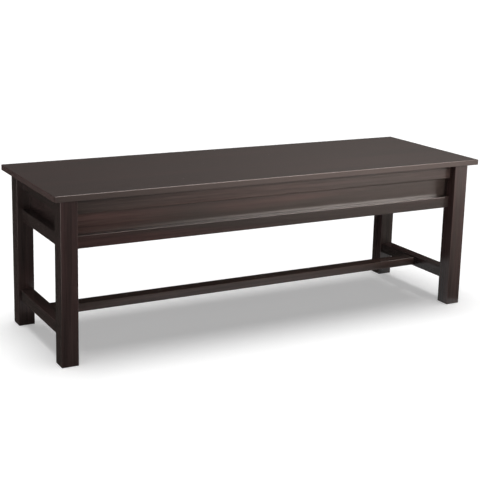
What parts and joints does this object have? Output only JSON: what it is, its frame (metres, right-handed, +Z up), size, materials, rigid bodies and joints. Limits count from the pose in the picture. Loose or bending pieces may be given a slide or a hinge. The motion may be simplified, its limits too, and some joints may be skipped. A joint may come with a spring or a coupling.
{
  "type": "monks bench",
  "caption": "Long storage bench: a hinged one-piece seat lid over a shallow framed box on square legs with an H stretcher.",
  "frame": {"origin": "on the floor under the middle of the lid", "axes": "+X along the bench to the right seen from the front, -Y towards the sitter in front, +Z up"},
  "size_m": [1.338, 0.447, 0.457],
  "materials": {
    "stained_seat_board": "espresso stain under satin lacquer, close-grained maple",
    "stained_frame_wood": "espresso stain under satin lacquer, close-grained maple",
    "stained_panel": "espresso stain under satin lacquer, long straight grain",
    "stained_box_lining": "stained plywood and cleats, thin lacquer",
    "bronzed_hinge_steel": "dark bronzed steel",
    "zinc_plated_stay_steel": "pressed steel strip, bright zinc plate",
    "zinc_plated_screw_steel": "zinc-plated wood screws",
    "glide_nylon": "moulded nylon",
    "bumper_rubber": "soft moulded rubber"
  },
  "bodies": {
    "frame": {"back_cleat": "stained_box_lining", "back_left_leg": "stained_frame_wood", "back_lower_rail": "stained_frame_wood", "back_panel": "stained_panel", "back_right_leg": "stained_frame_wood", "back_upper_rail": "stained_frame_wood", "box_floor": "stained_box_lining", "floor_bearers": "stained_box_lining", "floor_screws": "zinc_plated_screw_steel", "foot_glides": "glide_nylon", "front_cleat": "stained_box_lining", "front_left_leg": "stained_frame_wood", "front_lower_rail": "stained_frame_wood", "front_panel": "stained_panel", "front_right_leg": "stained_frame_wood", "front_upper_rail": "stained_frame_wood", "hinge_frame_leaf_left": "bronzed_hinge_steel", "hinge_frame_leaf_middle": "bronzed_hinge_steel", "hinge_frame_leaf_right": "bronzed_hinge_steel", "hinge_frame_screws": "bronzed_hinge_steel", "hinge_pins": "bronzed_hinge_steel", "left_cleat": "stained_box_lining", "left_end_stretcher": "stained_frame_wood", "left_lower_rail": "stained_frame_wood", "left_panel": "stained_panel", "left_upper_rail": "stained_frame_wood", "lid_bumpers": "bumper_rubber", "long_stretcher": "stained_frame_wood", "right_cleat": "stained_box_lining", "right_end_stretcher": "stained_frame_wood", "right_lower_rail": "stained_frame_wood", "right_panel": "stained_panel", "right_upper_rail": "stained_frame_wood", "stay_wall_bracket_left": "zinc_plated_stay_steel", "stay_wall_bracket_right": "zinc_plated_stay_steel", "stay_wall_pivot_left": "zinc_plated_stay_steel", "stay_wall_pivot_right": "zinc_plated_stay_steel", "stay_wall_screws": "zinc_plated_screw_steel"},
    "lid": {"batten_screws": "zinc_plated_screw_steel", "hinge_lid_leaf_left": "bronzed_hinge_steel", "hinge_lid_leaf_middle": "bronzed_hinge_steel", "hinge_lid_leaf_right": "bronzed_hinge_steel", "hinge_lid_screws": "bronzed_hinge_steel", "lid": "stained_seat_board", "lid_batten_left": "stained_frame_wood", "lid_batten_middle": "stained_frame_wood", "lid_batten_right": "stained_frame_wood", "stay_lid_bracket_left": "zinc_plated_stay_steel", "stay_lid_bracket_right": "zinc_plated_stay_steel", "stay_lid_pivot_left": "zinc_plated_stay_steel", "stay_lid_pivot_right": "zinc_plated_stay_steel", "stay_lid_screws": "zinc_plated_screw_steel"},
    "left_lower_arm": {"stay_elbow_pin_left": "zinc_plated_stay_steel", "stay_lower_arm_left": "zinc_plated_stay_steel"},
    "right_lower_arm": {"stay_elbow_pin_right": "zinc_plated_stay_steel", "stay_lower_arm_right": "zinc_plated_stay_steel"},
    "left_upper_arm": {"stay_upper_arm_left": "zinc_plated_stay_steel"},
    "right_upper_arm": {"stay_upper_arm_right": "zinc_plated_stay_steel"}
  },
  "joints": [
    {"name": "lid_hinge", "type": "hinge", "parent": "frame", "child": "lid", "pos_m": [0, 0.20555, 0.43695], "axis": [-1, 0, 0], "range_deg": [0, 98]},
    {"name": "left_wall_pivot", "type": "hinge", "parent": "frame", "child": "left_lower_arm", "pos_m": [-0.5976, 0.13055, 0.37695], "axis": [-1, 0, 0], "range_deg": [0, 98]},
    {"name": "left_lid_pivot", "type": "hinge", "parent": "lid", "child": "left_upper_arm", "pos_m": [-0.5952, 0.05555, 0.43095], "axis": [-1, 0, 0], "range_deg": [-98, 0]},
    {"name": "right_wall_pivot", "type": "hinge", "parent": "frame", "child": "right_lower_arm", "pos_m": [0.5976, 0.13055, 0.37695], "axis": [-1, 0, 0], "range_deg": [0, 98]},
    {"name": "right_lid_pivot", "type": "hinge", "parent": "lid", "child": "right_upper_arm", "pos_m": [0.5952, 0.05555, 0.43095], "axis": [-1, 0, 0], "range_deg": [-98, 0]}
  ],
  "couplings": [
    {"joint": "left_wall_pivot", "follows": "lid_hinge", "ratio": 1},
    {"joint": "left_lid_pivot", "follows": "lid_hinge", "ratio": -1},
    {"joint": "right_wall_pivot", "follows": "lid_hinge", "ratio": 1},
    {"joint": "right_lid_pivot", "follows": "lid_hinge", "ratio": -1}
  ]
}
